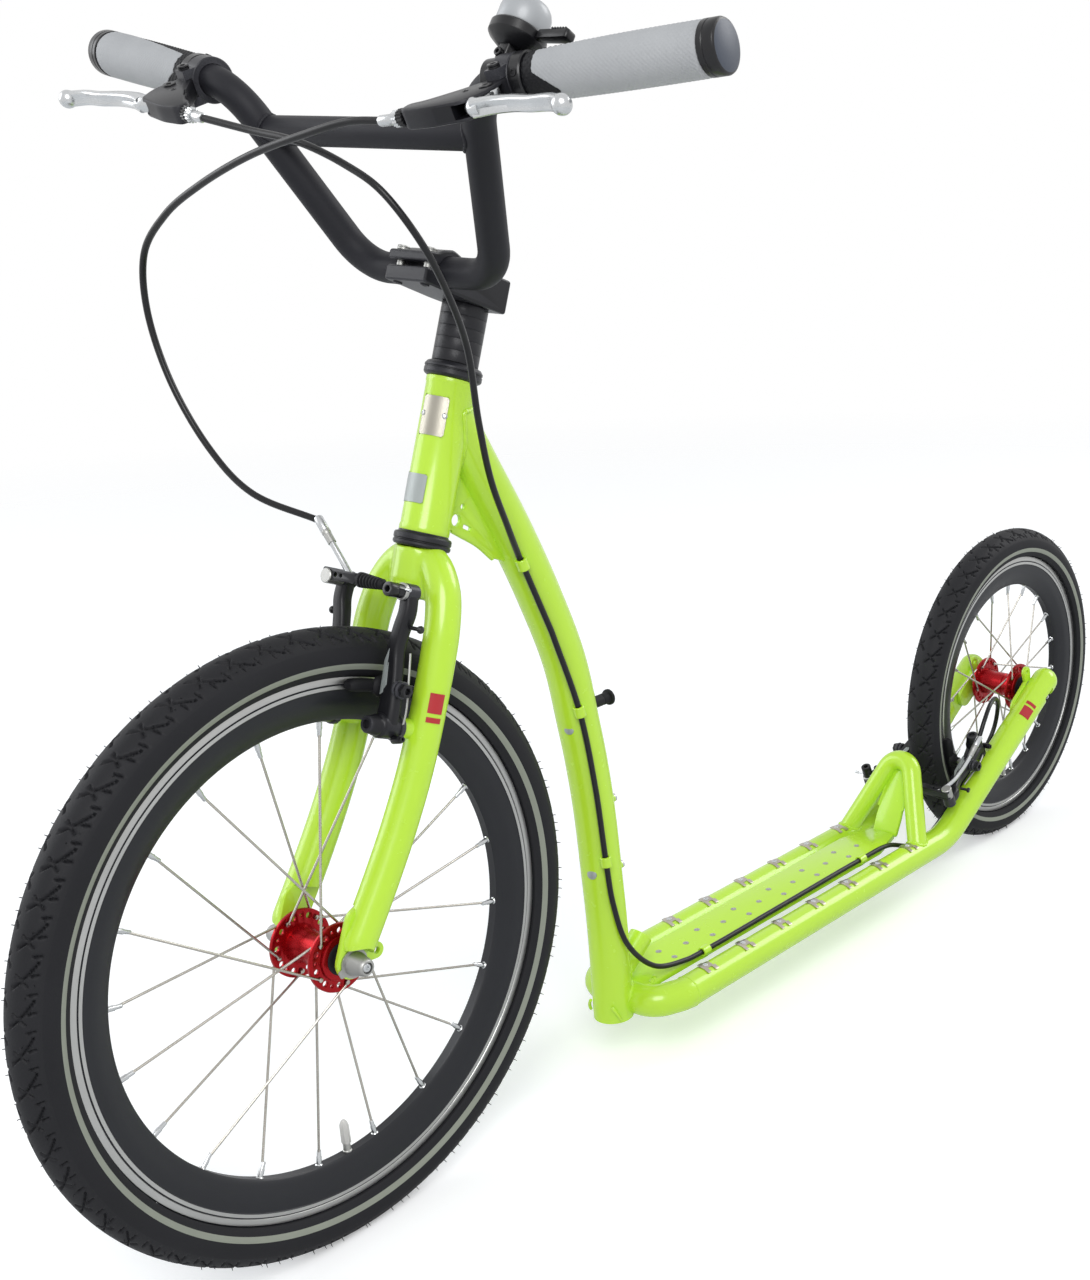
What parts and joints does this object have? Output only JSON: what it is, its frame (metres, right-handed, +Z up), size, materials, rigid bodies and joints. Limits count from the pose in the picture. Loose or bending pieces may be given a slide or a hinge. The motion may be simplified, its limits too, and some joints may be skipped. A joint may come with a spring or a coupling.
{
  "type": "kick bike",
  "caption": "Foot-pushed scooter with spoked wheels, a low deck between round rails, a raked fork, rim brakes and a high handlebar with a crossbar.",
  "frame": {"origin": "on the ground under the middle of the scooter's length", "axes": "+Z up, -Y towards the front wheel, +X towards the rider's left"},
  "size_m": [0.6178, 1.398, 0.8949],
  "materials": {
    "frame_paint": "gloss yellow-green powder coat",
    "black_alloy": "satin black anodised and painted alloy",
    "black_bar": "matte black paint",
    "silver": "satin polished alloy",
    "steel": "zinc-plated steel",
    "red_anodised": "gloss red anodised",
    "tyre": "matte black rubber with a grey sidewall stripe",
    "rim_black": "satin black rim with a bare silver brake track",
    "grip_grey": "grey textured grip rubber with black inserts",
    "black_rubber": "matte black rubber",
    "bell_shell": "satin pale grey shell",
    "cap_grey": "blue-grey end cap",
    "cable_black": "gloss black cable housing"
  },
  "bodies": {
    "frame": {"head_tube": "frame_paint", "down_tube": "frame_paint", "gusset": "frame_paint", "cross_tube": "frame_paint", "rail_left": "frame_paint", "rail_right": "frame_paint", "deck_plate": "frame_paint", "deck_flap": "frame_paint", "arch": "frame_paint", "dropout_left": "frame_paint", "dropout_right": "frame_paint", "peg": "black_rubber", "headset_lower_cup": "black_alloy", "headset_upper_cup": "black_alloy", "rear_axle": "steel", "rear_brake_noodle": "silver", "rear_brake_boot": "black_rubber", "rear_brake_cable_frame": "cable_black", "rear_brake_cable_loop": "cable_black"},
    "steering": {"fork_crown": "frame_paint", "fork_leg_left": "frame_paint", "fork_leg_right": "frame_paint", "headset_spacers": "black_alloy", "stem_body": "black_alloy", "stem_clamp_plate": "black_alloy", "handlebar": "black_bar", "handlebar_crossbar": "black_bar", "grip_left": "grip_grey", "grip_right": "grip_grey", "grip_lock_ring_left": "black_alloy", "grip_lock_ring_right": "black_alloy", "grip_end_ring_left": "cap_grey", "grip_end_ring_right": "cap_grey", "brake_bracket_left": "black_alloy", "brake_bracket_right": "black_alloy", "brake_barrel_left": "silver", "brake_barrel_right": "silver", "bell_base": "black_rubber", "bell_dome": "bell_shell", "front_axle": "steel", "front_brake_noodle": "silver", "front_brake_boot": "black_rubber", "front_brake_cable": "cable_black"},
    "front_wheel": {"front_tyre": "tyre", "front_rim": "rim_black", "front_hub": "red_anodised"},
    "rear_wheel": {"rear_tyre": "tyre", "rear_rim": "rim_black", "rear_hub": "red_anodised"},
    "lever_left": {"brake_lever_left": "silver"},
    "lever_right": {"brake_lever_right": "silver"},
    "bell_lever": {"bell_thumb_lever": "black_rubber"},
    "front_arm_left": {"front_brake_arm_left": "black_alloy", "front_brake_pad_left": "black_rubber"},
    "front_arm_right": {"front_brake_arm_right": "black_alloy", "front_brake_pad_right": "black_rubber"},
    "rear_arm_left": {"rear_brake_arm_left": "black_alloy", "rear_brake_pad_left": "black_rubber"},
    "rear_arm_right": {"rear_brake_arm_right": "black_alloy", "rear_brake_pad_right": "black_rubber"}
  },
  "joints": [
    {"name": "steering_turn", "type": "hinge", "parent": "frame", "child": "steering", "pos_m": [0, -0.3141, 0.5299], "axis": [0, 0.3665, 0.9304], "range_deg": [-60, 60], "deforming": ["rear_brake_cable_loop"]},
    {"name": "front_wheel_spin", "type": "hinge", "parent": "steering", "child": "front_wheel", "pos_m": [0, -0.456, 0.243], "axis": [1, 0, 0], "continuous": true},
    {"name": "rear_wheel_spin", "type": "hinge", "parent": "frame", "child": "rear_wheel", "pos_m": [0, 0.519, 0.18], "axis": [1, 0, 0], "continuous": true},
    {"name": "lever_left_pull", "type": "hinge", "parent": "steering", "child": "lever_left", "pos_m": [0.1582, -0.3619, 0.8347], "axis": [-0.0623, -0.3226, 0.9445], "range_deg": [0, 22], "stiffness_Nm_per_rad": 0.8, "springref_deg": -11.46},
    {"name": "lever_right_pull", "type": "hinge", "parent": "steering", "child": "lever_right", "pos_m": [-0.1582, -0.3619, 0.8347], "axis": [-0.0623, 0.3226, -0.9445], "range_deg": [0, 22], "stiffness_Nm_per_rad": 0.8, "springref_deg": -11.46},
    {"name": "bell_lever_flick", "type": "hinge", "parent": "steering", "child": "bell_lever", "pos_m": [0.1414, -0.3185, 0.8671], "axis": [0, 0.5736, 0.8192], "range_deg": [0, 25], "stiffness_Nm_per_rad": 0.05, "springref_deg": -11.46},
    {"name": "front_arm_left_swing", "type": "hinge", "parent": "steering", "child": "front_arm_left", "pos_m": [0.034, -0.398, 0.4093], "axis": [0, -0.9304, 0.3665], "range_deg": [0, 2.7]},
    {"name": "front_arm_right_swing", "type": "hinge", "parent": "steering", "child": "front_arm_right", "pos_m": [-0.034, -0.398, 0.4093], "axis": [0, 0.9304, -0.3665], "range_deg": [0, 2.7]},
    {"name": "rear_arm_left_swing", "type": "hinge", "parent": "frame", "child": "rear_arm_left", "pos_m": [0.034, 0.4079, 0.1427], "axis": [0, 0.3746, -0.9272], "range_deg": [0, 2.7]},
    {"name": "rear_arm_right_swing", "type": "hinge", "parent": "frame", "child": "rear_arm_right", "pos_m": [-0.034, 0.4079, 0.1427], "axis": [0, -0.3746, 0.9272], "range_deg": [0, 2.7]}
  ],
  "couplings": [
    {"joint": "front_arm_left_swing", "follows": "lever_left_pull", "ratio": 0.12},
    {"joint": "front_arm_right_swing", "follows": "lever_left_pull", "ratio": 0.12},
    {"joint": "rear_arm_left_swing", "follows": "lever_right_pull", "ratio": 0.12},
    {"joint": "rear_arm_right_swing", "follows": "lever_right_pull", "ratio": 0.12}
  ]
}
